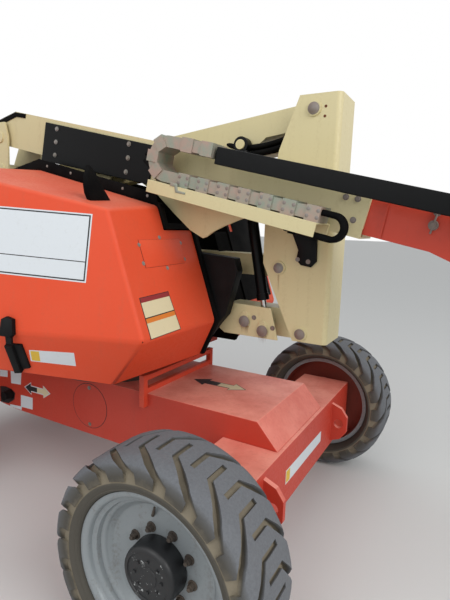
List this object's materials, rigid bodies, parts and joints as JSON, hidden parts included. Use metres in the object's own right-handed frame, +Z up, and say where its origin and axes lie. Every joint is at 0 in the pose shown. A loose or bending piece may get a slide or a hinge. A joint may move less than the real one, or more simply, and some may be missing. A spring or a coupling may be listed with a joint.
{
  "type": "articulating boom lift",
  "caption": "Self-propelled articulating boom lift, stowed, with lifting tower, telescoping boom, jib, rotating platform, opening hoods and steered wheels.",
  "frame": {"origin": "on the ground under the middle of the stowed machine", "axes": "+X from the turntable towards the platform, +Y to the left, +Z up"},
  "size_m": [5.4677, 1.93, 2.0051],
  "materials": {
    "red_paint": "satin red paint, faded",
    "cream_paint": "satin cream paint",
    "orange_paint": "gloss orange red moulded hood",
    "black_paint": "satin black paint",
    "grey_paint": "silver grey wheel paint",
    "cast": "cast iron, painted dark",
    "tyre": "worn rubber with dust",
    "rubber": "black rubber",
    "steel": "zinc plated steel, worn and stained",
    "chrome": "hard chrome",
    "plastic": "black textured plastic",
    "deck": "perforated metal deck"
  },
  "bodies": {
    "chassis": {"chassis_frame": "red_paint", "front_axle": "red_paint", "rear_axle": "red_paint", "tube_guard": "orange_paint", "slewing_ring": "steel"},
    "wheel_front_right": {"tyre_front_right": "tyre", "rim_front_right": "grey_paint"},
    "wheel_front_left": {"tyre_front_left": "tyre", "rim_front_left": "grey_paint"},
    "wheel_rear_right": {"tyre_rear_right": "tyre", "rim_rear_right": "grey_paint"},
    "wheel_rear_left": {"tyre_rear_left": "tyre", "rim_rear_left": "grey_paint"},
    "knuckle_right": {"steering_knuckle_right": "cast"},
    "knuckle_left": {"steering_knuckle_left": "cast"},
    "tie_rod": {"tie_rod": "cast"},
    "turntable": {"turntable_base": "red_paint", "counterweight": "black_paint", "engine_block": "black_paint", "hood_seal_right": "rubber", "hood_seal_left": "rubber", "hood_hinge_right": "black_paint", "hood_hinge_left": "black_paint", "front_cover": "plastic"},
    "hood_right": {"hood_right": "orange_paint"},
    "hood_left": {"hood_left": "orange_paint"},
    "lower_arm": {"tower_lower_arm": "cream_paint"},
    "timing_link": {"tower_timing_link": "cream_paint"},
    "upright": {"tower_upright": "cream_paint"},
    "middle_arm": {"tower_middle_arm": "cream_paint"},
    "middle_link": {"tower_middle_link": "cream_paint"},
    "upper_upright": {"upper_upright": "cream_paint"},
    "tower_ram_barrel": {"tower_ram_barrel": "black_paint"},
    "tower_ram_rod": {"tower_ram_rod": "chrome"},
    "main_boom": {"main_boom": "cream_paint", "hose_cover": "black_paint", "carrier_trough": "cream_paint", "cable_chain": "steel", "boom_hoses": "rubber"},
    "main_ram_barrel": {"main_ram_barrel": "black_paint"},
    "main_ram_rod": {"main_ram_rod": "chrome"},
    "fly_boom": {"fly_boom": "red_paint", "carrier_tube": "black_paint"},
    "jib_base": {"jib_base": "black_paint"},
    "jib_arm": {"jib_arm": "cream_paint"},
    "jib_link": {"jib_link": "cream_paint"},
    "jib_ram_barrel": {"jib_ram_barrel": "black_paint"},
    "jib_ram_rod": {"jib_ram_rod": "chrome"},
    "platform_mount": {"platform_mount": "black_paint"},
    "platform": {"platform_floor": "deck", "platform_rails": "cream_paint", "control_box": "plastic"},
    "platform_gate": {"platform_gate": "cream_paint"}
  },
  "joints": [
    {"name": "spin_front_right", "type": "hinge", "parent": "chassis", "child": "wheel_front_right", "pos_m": [-0.385, -0.83, 0.387], "axis": [0, 1, 0], "continuous": true},
    {"name": "spin_front_left", "type": "hinge", "parent": "chassis", "child": "wheel_front_left", "pos_m": [-0.385, 0.83, 0.387], "axis": [0, 1, 0], "continuous": true},
    {"name": "spin_rear_right", "type": "hinge", "parent": "knuckle_right", "child": "wheel_rear_right", "pos_m": [-2.345, -0.83, 0.387], "axis": [0, 1, 0], "continuous": true},
    {"name": "spin_rear_left", "type": "hinge", "parent": "knuckle_left", "child": "wheel_rear_left", "pos_m": [-2.345, 0.83, 0.387], "axis": [0, 1, 0], "continuous": true},
    {"name": "steer", "type": "hinge", "parent": "chassis", "child": "knuckle_right", "pos_m": [-2.345, -0.6, 0.387], "axis": [0, 0, 1], "range_deg": [-35, 35]},
    {"name": "steer_left", "type": "hinge", "parent": "chassis", "child": "knuckle_left", "pos_m": [-2.345, 0.6, 0.387], "axis": [0, 0, 1], "range_deg": [-36, 36]},
    {"name": "tie_rod_slide", "type": "slide", "parent": "chassis", "child": "tie_rod", "axis": [0, 1, 0], "range_m": [-0.1241, 0.1241]},
    {"name": "swing", "type": "hinge", "parent": "chassis", "child": "turntable", "pos_m": [-1.365, 0, 0.719], "axis": [0, 0, 1], "range_deg": [-177.5, 177.5]},
    {"name": "hood_right_open", "type": "hinge", "parent": "turntable", "child": "hood_right", "pos_m": [-2.065, -0.58, 1], "axis": [0, 0, -1], "range_deg": [0, 70]},
    {"name": "hood_left_open", "type": "hinge", "parent": "turntable", "child": "hood_left", "pos_m": [-2.065, 0.58, 1], "axis": [0, 0, 1], "range_deg": [0, 70]},
    {"name": "tower_lift", "type": "hinge", "parent": "turntable", "child": "lower_arm", "pos_m": [-1.915, 0.135, 0.973], "axis": [0, -1, 0], "range_deg": [0, 65]},
    {"name": "timing_link_turn", "type": "hinge", "parent": "turntable", "child": "timing_link", "pos_m": [-2.031, 0.135, 1.26], "axis": [0, -1, 0], "range_deg": [-1, 66]},
    {"name": "upright_level", "type": "hinge", "parent": "lower_arm", "child": "upright", "pos_m": [-0.28, 0.107, 0.973], "axis": [0, -1, 0], "range_deg": [-66, 1]},
    {"name": "middle_arm_turn", "type": "hinge", "parent": "upright", "child": "middle_arm", "pos_m": [-0.275, 0.135, 1.925], "axis": [0, -1, 0], "range_deg": [-66, 1]},
    {"name": "middle_link_turn", "type": "hinge", "parent": "upright", "child": "middle_link", "pos_m": [-0.325, 0.142, 1.82], "axis": [0, -1, 0], "range_deg": [-66, 1]},
    {"name": "upper_upright_level", "type": "hinge", "parent": "middle_arm", "child": "upper_upright", "pos_m": [-1.965, 0, 1.70851], "axis": [0, -1, 0], "range_deg": [-1, 66]},
    {"name": "tower_ram_swing", "type": "hinge", "parent": "middle_arm", "child": "tower_ram_barrel", "pos_m": [-0.625, 0.046, 1.807], "axis": [0, -1, 0], "range_deg": [-1, 61.67]},
    {"name": "tower_ram_stroke", "type": "slide", "parent": "tower_ram_barrel", "child": "tower_ram_rod", "axis": [0.1908, 0, -0.9816], "range_m": [-0.005, 0.5584]},
    {"name": "main_lift", "type": "hinge", "parent": "upper_upright", "child": "main_boom", "pos_m": [-1.965, -0.13, 1.877], "axis": [0, -1, 0], "range_deg": [0, 84]},
    {"name": "main_ram_swing", "type": "hinge", "parent": "upper_upright", "child": "main_ram_barrel", "pos_m": [-1.925, -0.13, 1.489], "axis": [0, -1, 0], "range_deg": [-1, 63.21]},
    {"name": "main_ram_stroke", "type": "slide", "parent": "main_ram_barrel", "child": "main_ram_rod", "axis": [0.9758, 0, 0.2188], "range_m": [-0.005, 0.4247]},
    {"name": "telescope", "type": "slide", "parent": "main_boom", "child": "fly_boom", "axis": [0.9765, 0, -0.2156], "range_m": [0, 1.5]},
    {"name": "jib_level", "type": "hinge", "parent": "fly_boom", "child": "jib_base", "pos_m": [0.76861, -0.13, 1.19667], "axis": [0, -1, 0], "range_deg": [-85, 1]},
    {"name": "jib_lift", "type": "hinge", "parent": "jib_base", "child": "jib_arm", "pos_m": [0.87861, -0.13, 1.08667], "axis": [0, -1, 0], "range_deg": [-24, 120]},
    {"name": "jib_link_turn", "type": "hinge", "parent": "jib_base", "child": "jib_link", "pos_m": [0.87061, -0.064, 1.20667], "axis": [0, -1, 0], "range_deg": [-25, 121]},
    {"name": "platform_level", "type": "hinge", "parent": "jib_arm", "child": "platform_mount", "pos_m": [1.76853, -0.13, 0.44011], "axis": [0, -1, 0], "range_deg": [-121, 25]},
    {"name": "jib_ram_swing", "type": "hinge", "parent": "jib_base", "child": "jib_ram_barrel", "pos_m": [0.81861, -0.186, 0.88667], "axis": [0, -1, 0], "range_deg": [-20.38, 97.88]},
    {"name": "jib_ram_stroke", "type": "slide", "parent": "jib_ram_barrel", "child": "jib_ram_rod", "axis": [0.963, 0, -0.2696], "range_m": [-0.0529, 0.2447]},
    {"name": "platform_rotate", "type": "hinge", "parent": "platform_mount", "child": "platform", "pos_m": [1.87853, -0.13, 0.44011], "axis": [0, 0, 1], "range_deg": [-90, 90]},
    {"name": "gate_open", "type": "hinge", "parent": "platform", "child": "platform_gate", "pos_m": [2.11253, -0.874, 0.9], "axis": [0, 0, 1], "range_deg": [0, 90]}
  ],
  "couplings": [
    {"joint": "steer_left", "follows": "steer", "ratio": 1},
    {"joint": "tie_rod_slide", "follows": "steer", "m_per_rad": -0.195},
    {"joint": "timing_link_turn", "follows": "tower_lift", "ratio": 1},
    {"joint": "upright_level", "follows": "tower_lift", "ratio": -1},
    {"joint": "middle_arm_turn", "follows": "tower_lift", "ratio": -1},
    {"joint": "middle_link_turn", "follows": "tower_lift", "ratio": -1},
    {"joint": "upper_upright_level", "follows": "tower_lift", "ratio": 1},
    {"joint": "tower_ram_swing", "follows": "tower_lift", "ratio": 0.93339},
    {"joint": "tower_ram_stroke", "follows": "tower_lift", "m_per_rad": 0.48779},
    {"joint": "main_ram_swing", "follows": "main_lift", "ratio": 0.74057},
    {"joint": "main_ram_stroke", "follows": "main_lift", "m_per_rad": 0.28629},
    {"joint": "jib_level", "follows": "main_lift", "ratio": -1},
    {"joint": "jib_link_turn", "follows": "jib_lift", "ratio": 1},
    {"joint": "platform_level", "follows": "jib_lift", "ratio": -1},
    {"joint": "jib_ram_swing", "follows": "jib_lift", "ratio": 0.80735},
    {"joint": "jib_ram_stroke", "follows": "jib_lift", "m_per_rad": 0.11446}
  ]
}
